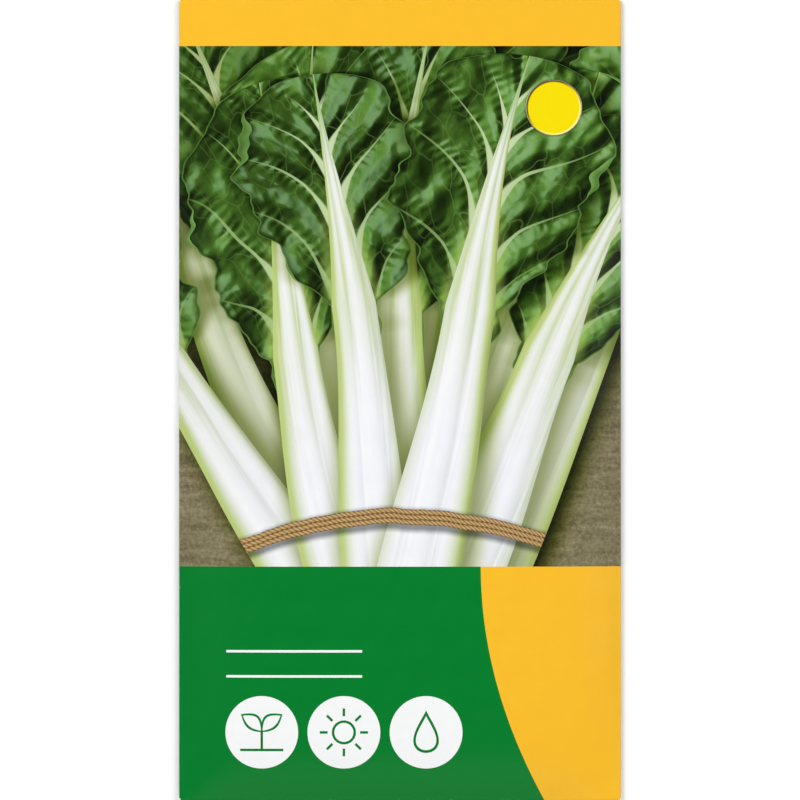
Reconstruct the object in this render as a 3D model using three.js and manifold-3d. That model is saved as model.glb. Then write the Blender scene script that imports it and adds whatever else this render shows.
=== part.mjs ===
// A paper seed packet: one printed sheet folded into an envelope and glued, a round label on its
// front, and three grams of chard seed clusters inside.
// It lies on its back. X runs across the front, Y up the front and Z out of it. Millimetres.

import * as THREE from "three";
import { mergeVertices } from "three/addons/utils/BufferGeometryUtils.js";
import Module from "manifold-3d";

const wasm = await Module();
wasm.setup();

// Driving dimensions
const PACKET_WIDTH = 90;
const PACKET_HEIGHT = 163.3;
const PAPER = 0.16; // thickness of the coated paper
const GLUE_GAP = 0.1; // room for glue between two layers of paper
const FOLD_GAP = 0.2; // air between the front and the back at a side fold
const BULGE = 5; // how far the seeds lift the front
const AIR_SHARE = 0.36; // of the bulge, left above the seeds
const HEAP_FADE = 45; // length over which the bulge sinks above the seeds
const FULLNESS = { sides: 6, bottom: 10, top: 4 }; // the higher, the steeper the front at that edge
const SEAM_OVERLAP = 10; // of the two back panels
const SEAM_STEP = 3; // width in which the outer back panel steps over the inner one
const SEAM_MARGIN = 1; // room beside the seam before that step, and beside the step
const TOP_FLAP = 18;
const BOTTOM_FLAP = 13;
const FLAP_TAPER = 5; // how much each side of a flap's free edge is set in
const GLUE_MARGIN = 2.5; // bare paper between a glue line and the edge of its flap
const GLUE_CLEARANCE = 0.02;
const GLUE_SETBACK = 0.5; // from the free edge of the outer back panel

const LABEL_RADIUS = 5.8;
const LABEL_CENTRE = { x: 31.3, y: 59.5 };
const LABEL_PAPER = 0.1;
const LABEL_CLEARANCE = 0.04;

const SEED_RADIUS = { least: 1.65, most: 2.05 };
const SEEDS_IN_GROUP = 3;
const GROUP_PITCH = 9.25;
const GROUP_ROWS = 8;
const GROUP_COLUMNS = 7; // in the longer rows; the rows between have one less
const GROUP_JITTER = 0.35;
const LOWEST_GROUP_Y = -61;
const SEED_TOUCH = 0.72; // distance between touching seeds as a share of their two radii
const SEED_CLEARANCE = 0.04;
const SEED_PLUMPNESS = 0.93; // radius of a cluster between its lobes, as a share of its own radius
const SEED_LOBE = 0.07; // height of a lobe, as the same share
const SEED_KNOB = 0.05; // height of the knobs

const FRONT_COLUMNS = 22;
const FRONT_ROWS = 34;
const FOLD_STEPS = 4;
const FLAP_STEPS = 2;
const LABEL_RINGS = 3;
const LABEL_SIDES = 32;

// Heights of the middle of each layer of paper, from the surface that the packet lies on
const flapLevel = PAPER / 2;
const lapLevel = flapLevel + PAPER + GLUE_GAP;
const backLevel = lapLevel + PAPER + GLUE_GAP;
const frontLevel = backLevel + PAPER + FOLD_GAP;

// Lines where the side folds and the end folds begin
const sideFoldRadius = (frontLevel - backLevel) / 2;
const endFoldRadius = (frontLevel - flapLevel) / 2;
const foldX = PACKET_WIDTH / 2 - PAPER / 2 - sideFoldRadius;
const foldY = PACKET_HEIGHT / 2 - PAPER / 2 - endFoldRadius;

const seamHalf = SEAM_OVERLAP / 2;
const stepStart = seamHalf + SEAM_MARGIN;
const stepEnd = stepStart + SEAM_STEP;

const rowPitch = (GROUP_PITCH * Math.sqrt(3)) / 2;
const heapTopY = LOWEST_GROUP_Y + (GROUP_ROWS - 1) * rowPitch + GROUP_PITCH / 2;

const materials = {
  paper: new THREE.MeshStandardMaterial({ color: 0x1a7f3c, roughness: 0.45, metalness: 0 }),
  glue: new THREE.MeshStandardMaterial({ color: 0xe9e4d4, roughness: 0.35, metalness: 0 }),
  label: new THREE.MeshStandardMaterial({ color: 0xf8dd10, roughness: 0.4, metalness: 0 }),
  seed: new THREE.MeshStandardMaterial({ color: 0xa98a5c, roughness: 0.95, metalness: 0 }),
};

const packet = new THREE.Group();

// How far the front panel stands above its folds: highest over the seeds, then a shallow pillow
function frontRise(x, y) {
  const across = 1 - Math.pow(Math.abs(x) / foldX, FULLNESS.sides);
  const along = 1 - Math.pow(Math.abs(y) / foldY, y < 0 ? FULLNESS.bottom : FULLNESS.top);
  const fade = THREE.MathUtils.smoothstep(y, heapTopY, heapTopY + HEAP_FADE);
  return BULGE * across * along * THREE.MathUtils.lerp(1, AIR_SHARE, fade);
}

function spread(from, to, cells) {
  return Array.from({ length: cells + 1 }, (_, i) => from + ((to - from) * i) / cells);
}

// Points of a half-turn fold, without its two ends, from the lower layer to the upper one
function foldArc(edge, lower, upper) {
  const radius = (upper - lower) / 2;
  const outward = Math.sign(edge);
  return spread(-Math.PI / 2, Math.PI / 2, FOLD_STEPS)
    .slice(1, -1)
    .map((angle) => ({
      at: edge + outward * radius * Math.cos(angle),
      z: (lower + upper) / 2 + radius * Math.sin(angle),
    }));
}

// The sheet across the packet: inner back panel, left fold, front, right fold, outer back panel
function columnsOfSheet() {
  const back = (x, z = backLevel) => ({ x, z, front: false });
  const arc = (edge) => foldArc(edge, backLevel, frontLevel).map(({ at, z }) => back(at, z));
  const front = spread(-foldX, foldX, FRONT_COLUMNS).map((x) => ({ x, z: frontLevel, front: true }));
  return [
    back(seamHalf),
    back(-foldX / 2),
    back(-foldX),
    ...arc(-foldX),
    ...front,
    ...arc(foldX).reverse(),
    back(foldX),
    back((foldX + stepEnd) / 2),
    back(stepEnd),
    back(stepStart, lapLevel),
    back(-seamHalf, lapLevel),
  ];
}

// The sheet along the packet: bottom flap, bottom fold, panels, top fold, top flap
function rowsOfSheet() {
  const flap = (side, length) => {
    const arc = foldArc(side * foldY, flapLevel, frontLevel).reverse();
    const turned = arc.map(({ at, z }) => ({ y: at, z, reach: 0, flap: true }));
    const flat = spread(0, 1, FLAP_STEPS).map((reach) => ({
      y: side * (foldY - reach * length),
      z: flapLevel,
      reach,
      flap: true,
    }));
    return [...turned, ...flat];
  };
  const panels = spread(-foldY, foldY, FRONT_ROWS).map((y) => ({ y, flap: false }));
  return [...flap(-1, BOTTOM_FLAP).reverse(), ...panels, ...flap(1, TOP_FLAP)];
}

// A point of the sheet's middle surface, or nothing where the sheet is cut away
function sheetPoint(column, row) {
  if (!row.flap) {
    const rise = column.front ? frontRise(column.x, row.y) : 0;
    return new THREE.Vector3(column.x, row.y, column.z + rise);
  }
  if (!column.front) return null;
  const narrowing = 1 - (FLAP_TAPER * row.reach) / foldX;
  return new THREE.Vector3(column.x * narrowing, row.y, row.z);
}

// Triangles of a grid of points that may have gaps, as indices into the points it returns
function gridSurface(grid) {
  const points = [];
  const index = grid.map((line) => line.map((p) => (p ? points.push(p) - 1 : -1)));
  const triangles = [];
  for (let i = 0; i + 1 < grid.length; i++)
    for (let j = 0; j + 1 < grid[0].length; j++) {
      const quad = [index[i][j], index[i + 1][j], index[i + 1][j + 1], index[i][j + 1]];
      if (quad.includes(-1)) continue;
      triangles.push([quad[0], quad[1], quad[2]], [quad[0], quad[2], quad[3]]);
    }
  return { points, triangles };
}

// A closed solid of even thickness about an open surface
function thickSheet({ points, triangles }, thickness) {
  const normals = points.map(() => new THREE.Vector3());
  const edges = new Map();
  for (const [a, b, c] of triangles) {
    const ab = points[b].clone().sub(points[a]);
    const ac = points[c].clone().sub(points[a]);
    const normal = ab.cross(ac).normalize();
    for (const v of [a, b, c]) normals[v].add(normal);
    for (const [from, to] of [[a, b], [b, c], [c, a]]) {
      if (edges.has(`${to},${from}`)) edges.delete(`${to},${from}`);
      else edges.set(`${from},${to}`, [from, to]);
    }
  }
  const side = (sign) =>
    points.map((p, v) => p.clone().addScaledVector(normals[v].normalize(), (sign * thickness) / 2));
  const count = points.length;
  const outer = triangles;
  const inner = triangles.map(([a, b, c]) => [a + count, c + count, b + count]);
  const walls = [...edges.values()].flatMap(([a, b]) => [
    [b, a, a + count],
    [b, a + count, b + count],
  ]);
  const geometry = new THREE.BufferGeometry().setFromPoints([...side(1), ...side(-1)]);
  geometry.setIndex([...outer, ...inner, ...walls].flat());
  geometry.computeVertexNormals();
  return geometry;
}

function addMesh(name, geometry, material, group = packet) {
  const mesh = new THREE.Mesh(geometry, material);
  mesh.name = name;
  group.add(mesh);
  return mesh;
}

// One sheet of paper holds the front, both back panels and both flaps
function addEnvelope() {
  const rows = rowsOfSheet();
  const grid = columnsOfSheet().map((column) => rows.map((row) => sheetPoint(column, row)));
  addMesh("envelope_paper", thickSheet(gridSurface(grid), PAPER), materials.paper);
}

function addSeamGlue() {
  const width = SEAM_OVERLAP - GLUE_MARGIN;
  const length = 2 * (foldY - GLUE_MARGIN);
  const glue = new THREE.BoxGeometry(width, length, GLUE_GAP - 2 * GLUE_CLEARANCE);
  addMesh("seam_glue", glue, materials.glue).position.z = (lapLevel + backLevel) / 2;
}

// A glue line fills the space between a flap and the stepped back panels
function addFlapGlue(name, flapLength, side) {
  const bottom = flapLevel + PAPER / 2 + GLUE_CLEARANCE;
  const underLap = lapLevel - PAPER / 2 - GLUE_CLEARANCE;
  const underBack = backLevel - PAPER / 2 - GLUE_CLEARANCE;
  const half = foldX - FLAP_TAPER - GLUE_MARGIN;
  const lapEdge = -seamHalf - GLUE_SETBACK;
  const section = new THREE.Shape();
  section.moveTo(-half, bottom);
  section.lineTo(half, bottom);
  section.lineTo(half, underBack);
  section.lineTo(stepEnd + SEAM_MARGIN, underBack);
  section.lineTo(stepStart, underLap);
  section.lineTo(lapEdge, underLap);
  section.lineTo(lapEdge, underBack);
  section.lineTo(-half, underBack);
  section.closePath();
  const width = flapLength - 2 * GLUE_MARGIN;
  const glue = new THREE.ExtrudeGeometry(section, { depth: width, bevelEnabled: false });
  const mesh = addMesh(name, glue, materials.glue);
  mesh.rotation.x = Math.PI / 2;
  mesh.position.y = side > 0 ? foldY - GLUE_MARGIN : -foldY + GLUE_MARGIN + width;
}

// The label is a disc of paper that follows the front panel
function addLabel() {
  const level = frontLevel + PAPER / 2 + LABEL_CLEARANCE + LABEL_PAPER / 2;
  const at = (ring, turn) => {
    const radius = (LABEL_RADIUS * ring) / LABEL_RINGS;
    const x = LABEL_CENTRE.x + radius * Math.cos(turn);
    const y = LABEL_CENTRE.y + radius * Math.sin(turn);
    return new THREE.Vector3(x, y, level + frontRise(x, y));
  };
  const points = [at(0, 0)];
  for (let ring = 1; ring <= LABEL_RINGS; ring++)
    for (let i = 0; i < LABEL_SIDES; i++) points.push(at(ring, (2 * Math.PI * i) / LABEL_SIDES));
  const vertex = (ring, i) => (ring === 0 ? 0 : 1 + (ring - 1) * LABEL_SIDES + (i % LABEL_SIDES));
  const triangles = [];
  for (let ring = 0; ring < LABEL_RINGS; ring++)
    for (let i = 0; i < LABEL_SIDES; i++) {
      triangles.push([vertex(ring, i), vertex(ring + 1, i), vertex(ring + 1, i + 1)]);
      if (ring > 0) triangles.push([vertex(ring, i), vertex(ring + 1, i + 1), vertex(ring, i + 1)]);
    }
  addMesh("round_label", thickSheet({ points, triangles }, LABEL_PAPER), materials.label);
}

// Random numbers from 0 to 1 that are the same every time
function seededRandom(seed) {
  let state = seed;
  return () => {
    state = (state + 0x6d2b79f5) | 0;
    let t = Math.imul(state ^ (state >>> 15), 1 | state);
    t = (t + Math.imul(t ^ (t >>> 7), 61 | t)) ^ t;
    return ((t ^ (t >>> 14)) >>> 0) / 4294967296;
  };
}

const random = seededRandom(20);
const between = (low, high) => low + (high - low) * random();

function toSolid(geometry) {
  const merged = mergeVertices(geometry, 1e-4);
  return new wasm.Manifold(
    new wasm.Mesh({
      numProp: 3,
      vertProperties: new Float32Array(merged.attributes.position.array),
      triVerts: new Uint32Array(merged.index.array),
    }),
  );
}

function toGeometry(solid) {
  const { vertProperties, triVerts } = solid.getMesh();
  const geometry = new THREE.BufferGeometry();
  geometry.setAttribute("position", new THREE.BufferAttribute(vertProperties, 3));
  geometry.setIndex(new THREE.BufferAttribute(triVerts, 1));
  geometry.computeVertexNormals();
  return geometry;
}

// A knobbly cluster with three or four blunt lobes, standing at x, y on the inside of the back
function seedCluster(x, y, radius) {
  let geometry = new THREE.OctahedronGeometry(1, 1);
  geometry.deleteAttribute("normal");
  geometry.deleteAttribute("uv");
  geometry = mergeVertices(geometry, 1e-4);
  const lobes = random() < 0.5 ? 3 : 4;
  const turn = between(0, 2 * Math.PI);
  const position = geometry.attributes.position;
  for (let i = 0; i < position.count; i++) {
    const p = new THREE.Vector3().fromBufferAttribute(position, i);
    const lobe = SEED_LOBE * Math.cos(lobes * Math.atan2(p.y, p.x) + turn) * Math.hypot(p.x, p.y);
    p.multiplyScalar(radius * (SEED_PLUMPNESS + lobe + between(-SEED_KNOB, SEED_KNOB)));
    position.setXYZ(i, p.x, p.y, p.z);
  }
  geometry.computeBoundingBox();
  const floor = backLevel + PAPER / 2 + SEED_CLEARANCE;
  geometry.translate(x, y, floor - geometry.boundingBox.min.z);
  return toSolid(geometry);
}

// Three seed clusters that lie against each other
function seedGroup(x, y) {
  const turn = between(0, 2 * Math.PI);
  const middle = (SEED_RADIUS.least + SEED_RADIUS.most) / 2;
  const distance = (2 * middle * SEED_TOUCH) / Math.sqrt(3);
  let group = null;
  for (let i = 0; i < SEEDS_IN_GROUP; i++) {
    const angle = turn + (2 * Math.PI * i) / SEEDS_IN_GROUP;
    const radius = between(SEED_RADIUS.least, SEED_RADIUS.most);
    const seed = seedCluster(x + distance * Math.cos(angle), y + distance * Math.sin(angle), radius);
    group = group ? group.add(seed) : seed;
  }
  return toGeometry(group);
}

function addSeeds() {
  const seeds = new THREE.Group();
  packet.add(seeds);
  let number = 0;
  for (let row = 0; row < GROUP_ROWS; row++) {
    const columns = GROUP_COLUMNS - (row % 2);
    for (let column = 0; column < columns; column++) {
      const x = (column - (columns - 1) / 2) * GROUP_PITCH + between(-GROUP_JITTER, GROUP_JITTER);
      const y = LOWEST_GROUP_Y + row * rowPitch + between(-GROUP_JITTER, GROUP_JITTER);
      number += 1;
      addMesh(`seed_group_${String(number).padStart(2, "0")}`, seedGroup(x, y), materials.seed, seeds);
    }
  }
}

addEnvelope();
addSeamGlue();
addFlapGlue("bottom_flap_glue", BOTTOM_FLAP, -1);
addFlapGlue("top_flap_glue", TOP_FLAP, 1);
addLabel();
addSeeds();

export default packet;
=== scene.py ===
"""A paper seed packet with a round foil-rimmed label, lying on its back on a pale table.

The packet is printed with a yellow band, a picture of a bunch of chard, and a green panel. It is seen
from straight above. Geometry is in metres; the print is laid out in millimetres from the middle of the
front, x to the right and y to the top.
"""

import math
from collections import namedtuple

import bpy
import numpy as np
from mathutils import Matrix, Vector


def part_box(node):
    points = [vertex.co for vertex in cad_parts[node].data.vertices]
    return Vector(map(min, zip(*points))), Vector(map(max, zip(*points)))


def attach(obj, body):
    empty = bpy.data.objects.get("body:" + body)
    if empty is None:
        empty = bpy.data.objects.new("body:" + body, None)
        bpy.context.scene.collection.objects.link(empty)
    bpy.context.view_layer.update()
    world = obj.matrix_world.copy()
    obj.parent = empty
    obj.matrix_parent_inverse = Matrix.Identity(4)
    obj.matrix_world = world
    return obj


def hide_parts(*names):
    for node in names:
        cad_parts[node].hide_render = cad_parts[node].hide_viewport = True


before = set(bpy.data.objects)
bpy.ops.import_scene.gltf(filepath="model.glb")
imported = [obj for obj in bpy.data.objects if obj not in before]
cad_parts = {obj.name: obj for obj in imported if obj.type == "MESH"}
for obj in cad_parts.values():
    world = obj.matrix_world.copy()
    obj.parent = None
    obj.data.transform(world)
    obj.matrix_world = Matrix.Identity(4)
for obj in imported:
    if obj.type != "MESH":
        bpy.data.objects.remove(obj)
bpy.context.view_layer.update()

MM = 0.001

# The folded sheet, as its solid is built
PAPER = 0.16 * MM
GLUE_GAP = 0.1 * MM
FOLD_GAP = 0.2 * MM
AIR_SHARE = 0.36
HEAP_FADE = 45 * MM
FULLNESS_SIDES = 6
FULLNESS_BOTTOM = 10
FULLNESS_TOP = 4
SEAM_HALF = 5 * MM
SEAM_MARGIN = 1 * MM
SEAM_STEP = 3 * MM
TOP_FLAP = 18 * MM
BOTTOM_FLAP = 13 * MM
FLAP_TAPER = 5 * MM

# The seed clusters under it: how many each group has, and how far apart their tops are at least
CLUSTERS_IN_GROUP = 3
KNOBS_APART = 2.4 * MM

# Fineness of the sheet's surface
FINE_STEP = 0.75 * MM
BACK_STEP = 2.5 * MM
FOLD_STEPS = 6
FLAP_STEPS = 12
SEAM_STEPS = 6
SHARP_FOLD = math.radians(50)

# Relief that the seeds and the folding leave in the paper. Where the prints of several seeds meet, they
# reach this much of one seed's at most. Puckers and waves are full from their insets on.
SEED_PRINT = 0.2 * MM
SEED_PRINT_MOST = 1.3
SEED_SPREAD = 1.55 * MM
PUCKER_HEIGHT = 0.13 * MM
PUCKER_LENGTH = 13 * MM
PUCKER_REACH = 7 * MM
PUCKER_INSET = 2.5 * MM
WAVE_HEIGHT = 0.1 * MM
WAVE_INSET = 12 * MM

# Layout of the front print, in millimetres
BAND_HEIGHT = 9.55
PANEL_HEIGHT = 47.8
ACCENT_TOP_X = 16.4
ACCENT_SWEEP = 13.1
DISC_RADIUS = 7.4
DISC_X = (-28.1, -11.4, 5.3)
DISC_RISE = 14.1
RULE_LEFT = -35.3
RULE_RIGHT = -7.7
RULE_RISE = (30.6, 25.5)
RULE_THICKNESS = 0.5


def ink(red, green, blue):
    """A print colour, given in 0 to 255 as it looks (sRGB), as a shader colour."""
    linear = [((c / 255 + 0.055) / 1.055) ** 2.4 if c > 10 else c / 255 / 12.92 for c in (red, green, blue)]
    return (*linear, 1.0)


YELLOW = ink(252, 192, 44)
GREEN = ink(0, 126, 45)
WHITE_INK = ink(249, 251, 250)
PAPER_WHITE = ink(240, 239, 232)
BLACK = (0.0, 0.0, 0.0, 1.0)


# Node arithmetic


class Value:
    """A node's output that can be added, multiplied and so on. Each step adds one Math node."""

    def __init__(self, socket):
        self.socket = socket
        self.tree = socket.id_data

    def __add__(self, other):
        return calculate(self.tree, "ADD", self, other)

    def __radd__(self, other):
        return calculate(self.tree, "ADD", other, self)

    def __sub__(self, other):
        return calculate(self.tree, "SUBTRACT", self, other)

    def __rsub__(self, other):
        return calculate(self.tree, "SUBTRACT", other, self)

    def __mul__(self, other):
        return calculate(self.tree, "MULTIPLY", self, other)

    def __rmul__(self, other):
        return calculate(self.tree, "MULTIPLY", other, self)

    def __truediv__(self, other):
        return calculate(self.tree, "DIVIDE", self, other)

    def __pow__(self, other):
        return calculate(self.tree, "POWER", self, other)

    def __abs__(self):
        return calculate(self.tree, "ABSOLUTE", self)

    def __gt__(self, other):
        return calculate(self.tree, "GREATER_THAN", self, other)

    def __lt__(self, other):
        return calculate(self.tree, "LESS_THAN", self, other)


def feed(socket, value):
    """Link the value to the socket, or set a plain number, vector or colour on it."""
    if isinstance(value, Value):
        socket.id_data.links.new(value.socket, socket)
    else:
        socket.default_value = value


def calculate(tree, operation, *values):
    """The result of one Math node."""
    node = tree.nodes.new("ShaderNodeMath")
    node.operation = operation
    for socket, value in zip(node.inputs, values):
        feed(socket, value)
    return Value(node.outputs[0])


def smaller(a, b):
    return calculate(a.tree, "MINIMUM", a, b)


def larger(a, b):
    return calculate(a.tree, "MAXIMUM", a, b)


def root(a):
    return calculate(a.tree, "SQRT", a)


def sine(a):
    return calculate(a.tree, "SINE", a)


def cosine(a):
    return calculate(a.tree, "COSINE", a)


def sign(a):
    return calculate(a.tree, "SIGN", a)


def fraction(a):
    return calculate(a.tree, "FRACT", a)


def clamped(a):
    return smaller(larger(a, 0.0), 1.0)


def smooth(value, low, high, out_low=0.0, out_high=1.0):
    """out_low below low, out_high above high, and a soft step between them."""
    node = value.tree.nodes.new("ShaderNodeMapRange")
    node.interpolation_type = "SMOOTHSTEP"
    for name, given in zip(
        ("Value", "From Min", "From Max", "To Min", "To Max"), (value, low, high, out_low, out_high)
    ):
        feed(node.inputs[name], given)
    return Value(node.outputs[0])


def between(value, at_zero, at_one):
    """at_zero where the value is 0, at_one where it is 1."""
    return at_zero + value * (at_one - at_zero)


# Places of a Mix node's two inputs and of its result, for each kind of value
MIX_SOCKETS = {"FLOAT": (2, 3, 0), "VECTOR": (4, 5, 1), "RGBA": (6, 7, 2)}


def mixed(factor, a, b, kind="RGBA"):
    """a where the factor is 0, b where it is 1."""
    node = factor.tree.nodes.new("ShaderNodeMix")
    node.data_type = kind
    first, second, result = MIX_SOCKETS[kind]
    feed(node.inputs[0], factor)
    feed(node.inputs[first], a)
    feed(node.inputs[second], b)
    return Value(node.outputs[result])


def multiplied(a, b):
    """One colour times another."""
    node = a.tree.nodes.new("ShaderNodeMix")
    node.data_type = "RGBA"
    node.blend_type = "MULTIPLY"
    node.inputs[0].default_value = 1.0
    first, second, result = MIX_SOCKETS["RGBA"]
    feed(node.inputs[first], a)
    feed(node.inputs[second], b)
    return Value(node.outputs[result])


def darkened(colour, factor):
    """The colour times a value from 0 to 1."""
    return mixed(factor, BLACK, colour)


def ramp(value, stops):
    """The colour that the value has between these stops, each a place and a colour."""
    node = value.tree.nodes.new("ShaderNodeValToRGB")
    elements = node.color_ramp.elements
    while len(elements) < len(stops):
        elements.new(0.5)
    for element, (position, colour) in zip(elements, stops):
        element.position = position
        element.color = colour
    feed(node.inputs[0], value)
    return Value(node.outputs["Color"])


def combine(x, y, z=0.0):
    tree = next(v.tree for v in (x, y, z) if isinstance(v, Value))
    node = tree.nodes.new("ShaderNodeCombineXYZ")
    for socket, value in zip(node.inputs, (x, y, z)):
        feed(socket, value)
    return Value(node.outputs[0])


def parts(vector):
    node = vector.tree.nodes.new("ShaderNodeSeparateXYZ")
    feed(node.inputs[0], vector)
    return [Value(output) for output in node.outputs]


def noise(point, scale, detail=2.0, roughness=0.5):
    node = point.tree.nodes.new("ShaderNodeTexNoise")
    feed(node.inputs["Vector"], point)
    node.inputs["Scale"].default_value = scale
    node.inputs["Detail"].default_value = detail
    node.inputs["Roughness"].default_value = roughness
    return Value(node.outputs["Fac"])


def noise_along(way, detail=2.0, roughness=0.5):
    """Noise along one line."""
    node = way.tree.nodes.new("ShaderNodeTexNoise")
    node.noise_dimensions = "1D"
    feed(node.inputs["W"], way)
    node.inputs["Scale"].default_value = 1.0
    node.inputs["Detail"].default_value = detail
    node.inputs["Roughness"].default_value = roughness
    return Value(node.outputs["Fac"])


def cells(point, scale, feature="F1", dimensions="3D"):
    node = point.tree.nodes.new("ShaderNodeTexVoronoi")
    node.voronoi_dimensions = dimensions
    node.feature = feature
    feed(node.inputs["Vector"], point)
    node.inputs["Scale"].default_value = scale
    return Value(node.outputs["Distance"])


def new_group(name, inputs, outputs):
    """An empty node group, its inputs by name, and the node that takes its outputs."""
    group = bpy.data.node_groups.new(name, "ShaderNodeTree")
    for way, sockets in (("INPUT", inputs), ("OUTPUT", outputs)):
        for label, kind in sockets.items():
            group.interface.new_socket(label, in_out=way, socket_type=f"NodeSocket{kind}")
    entry = group.nodes.new("NodeGroupInput")
    leave = group.nodes.new("NodeGroupOutput")
    return group, {label: Value(entry.outputs[label]) for label in inputs}, leave


def place(group, tree, values):
    """The outputs, by name, of a copy of the group fed with these values."""
    node = tree.nodes.new("ShaderNodeGroup")
    node.node_tree = group
    for label, value in values.items():
        feed(node.inputs[label], value)
    return {output.name: Value(output) for output in node.outputs}


# Effects that several materials share

# How fine the strands of the felt are, to the right and up
STRAND_FINENESS = (0.9, 4.0)
FELT_SHARE = 0.7


def make_paper_fibre():
    """Fine felted relief and faint mottling of paper."""
    group, given, leave = new_group(
        "paper_fibre", {"Point": "Vector", "Coarseness": "Float"}, {"Height": "Float", "Mottle": "Float"}
    )
    x, y, z = parts(given["Point"])
    coarseness = given["Coarseness"]
    spread_point = combine(x / coarseness, y / coarseness, z / coarseness)
    felt = noise(spread_point, scale=5.0, detail=4.0, roughness=0.7)
    fine_x, fine_y = STRAND_FINENESS
    strands = noise(combine(x * fine_x, y * fine_y, z), scale=2.2, detail=3.0, roughness=0.6)
    feed(leave.inputs["Height"], felt * FELT_SHARE + strands * (1.0 - FELT_SHARE))
    feed(leave.inputs["Mottle"], noise(given["Point"], scale=0.35, detail=3.0, roughness=0.55))
    return group


# What a fold adds to the patches of wear, and the levels at which they begin and are full
WEAR_AT_FOLD = 0.24
WEAR_START = 0.84
WEAR_FULL = 0.95


def make_fold_wear():
    """A patchy mask, strongest at distance 0 from a fold or a cut edge, where ink has cracked off."""
    group, given, leave = new_group(
        "fold_wear", {"Point": "Vector", "Distance": "Float", "Width": "Float"}, {"Mask": "Float"}
    )
    near = smooth(given["Distance"] / given["Width"], 0.0, 1.0, 1.0, 0.0)
    patches = noise(given["Point"], scale=0.9, detail=5.0, roughness=0.75)
    feed(leave.inputs["Mask"], smooth(patches + near * WEAR_AT_FOLD, WEAR_START, WEAR_FULL))
    return group


# The chard picture, in millimetres. The odd factors on a leaf's seed and side only set its pattern
# apart from those of the other leaves and of its other half.

# Light on the leaves: to the right, up the picture and out of it
LEAF_LIGHT = Vector((-0.52, 0.46, 0.72)).normalized()

# Outline of a blade: its fullness, how it tapers to its base and its tip, and its wavy margin
BLADE_FULLNESS = 2.28
BASE_TAPER = 0.88
TIP_TAPER = 0.42
MARGIN_LEAST = 0.66
MARGIN_WAVE = 0.68
MARGIN_FINENESS = 0.1

# The stalk's width at the blade, as a share of that at its root, then how the midrib narrows from
# there and its least half width
STALK_NARROWING = 0.6
RIB_TAPER = 1.55
RIB_LEAST = 0.13

# The strip of blade that runs down the stalk: where it starts and is full, as shares of the blade's
# length, how much the ruffle widens it, and the ruffle below which it stays hidden
WING_START = -0.34
WING_FULL = -0.05
WING = 4.2
WING_LOSS = 0.3

# Sideways sway of the whole leaf, and its turn in radians for each millimetre
SWAY = 1.0
SWAY_TURN = 0.055

# Shadow of a leaf: its shift to the right, where it starts to fade and where it ends, beside the leaf
# in millimetres and along it as shares of its length, and its depth
SHADOW_SHIFT = 1.2
SHADOW_START = -1.0
SHADOW_END = 5.0
TIP_SHADOW_START = 0.99
TIP_SHADOW_END = 1.06
CAST_SHADE = 0.6
# How much of the shade on a pale stalk is lit up by its surroundings
STALK_GLOW = 0.25

LEAF_INPUTS = {
    "Point": "Vector",
    "Root": "Vector",
    "Lean": "Float",
    "Length": "Float",
    "Blade Start": "Float",
    "Blade Width": "Float",
    "Stalk Width": "Float",
    "Bend": "Float",
    "Seed": "Float",
    "Light": "Float",
    "Below Place": "Vector",
    "Below Size": "Vector",
    "Below Lit": "Vector",
}
LEAF_OUTPUTS = {"Place": "Vector", "Size": "Vector", "Lit": "Vector", "Inside": "Float"}


def make_leaf_layer():
    """One leaf laid over what is below it.

    Place is the way along the leaf, the distance right of its midrib, and the share of the blade that
    is passed, below 0 on the stalk. Size is the half width of the blade and of the stalk or midrib, and
    the leaf's seed. Lit is the brightness, and the sine and cosine of the leaf's lean.
    """
    group, given, leave = new_group("leaf_layer", LEAF_INPUTS, LEAF_OUTPUTS)
    seed = given["Seed"]
    x, y, _ = parts(given["Point"])
    root_x, root_y, _ = parts(given["Root"])
    sine_lean = sine(given["Lean"])
    cosine_lean = cosine(given["Lean"])
    right = x - root_x
    up = y - root_y
    along = right * sine_lean + up * cosine_lean
    reach = along / given["Length"]
    sway = SWAY * sine(along * SWAY_TURN + seed * 2.0)
    across = right * cosine_lean - up * sine_lean - given["Bend"] * along * reach - sway
    share = (reach - given["Blade Start"]) / (1.0 - given["Blade Start"])
    on_blade = clamped(share)
    ruffle_place = along * MARGIN_FINENESS + sign(across) * 31.7 + seed * 17.3
    ruffle = noise_along(ruffle_place, detail=2.0, roughness=0.42)
    stalk = given["Stalk Width"] * smooth(reach, 0.0, given["Blade Start"], 1.0, STALK_NARROWING)
    rib = stalk * (1.0 - on_blade) ** RIB_TAPER + RIB_LEAST
    wing_width = stalk + WING * (ruffle - WING_LOSS)
    wing = smooth(share, WING_START, WING_FULL) * (1.0 - on_blade) * wing_width
    outline = BLADE_FULLNESS * on_blade**BASE_TAPER * (1.0 - on_blade) ** TIP_TAPER
    blade = given["Blade Width"] * outline * (MARGIN_LEAST + MARGIN_WAVE * ruffle) + wing
    half = larger(blade, rib)
    inside = (abs(across) < half) * (reach > 0.0) * (reach < 1.0)
    past_edge = abs(across - SHADOW_SHIFT) - half
    shadow = smooth(past_edge, SHADOW_START, SHADOW_END, 1.0, 0.0)
    shadow = shadow * smooth(reach, TIP_SHADOW_START, TIP_SHADOW_END, 1.0, 0.0)
    below_light, below_sine, below_cosine = parts(given["Below Lit"])
    covered = combine(below_light * (1.0 - CAST_SHADE * shadow), below_sine, below_cosine)
    lit = combine(given["Light"], sine_lean, cosine_lean)
    spot = combine(along, across, share)
    size = combine(half, rib, seed)
    feed(leave.inputs["Place"], mixed(inside, given["Below Place"], spot, "VECTOR"))
    feed(leave.inputs["Size"], mixed(inside, given["Below Size"], size, "VECTOR"))
    feed(leave.inputs["Lit"], mixed(inside, covered, lit, "VECTOR"))
    feed(leave.inputs["Inside"], inside)
    return group


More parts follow.
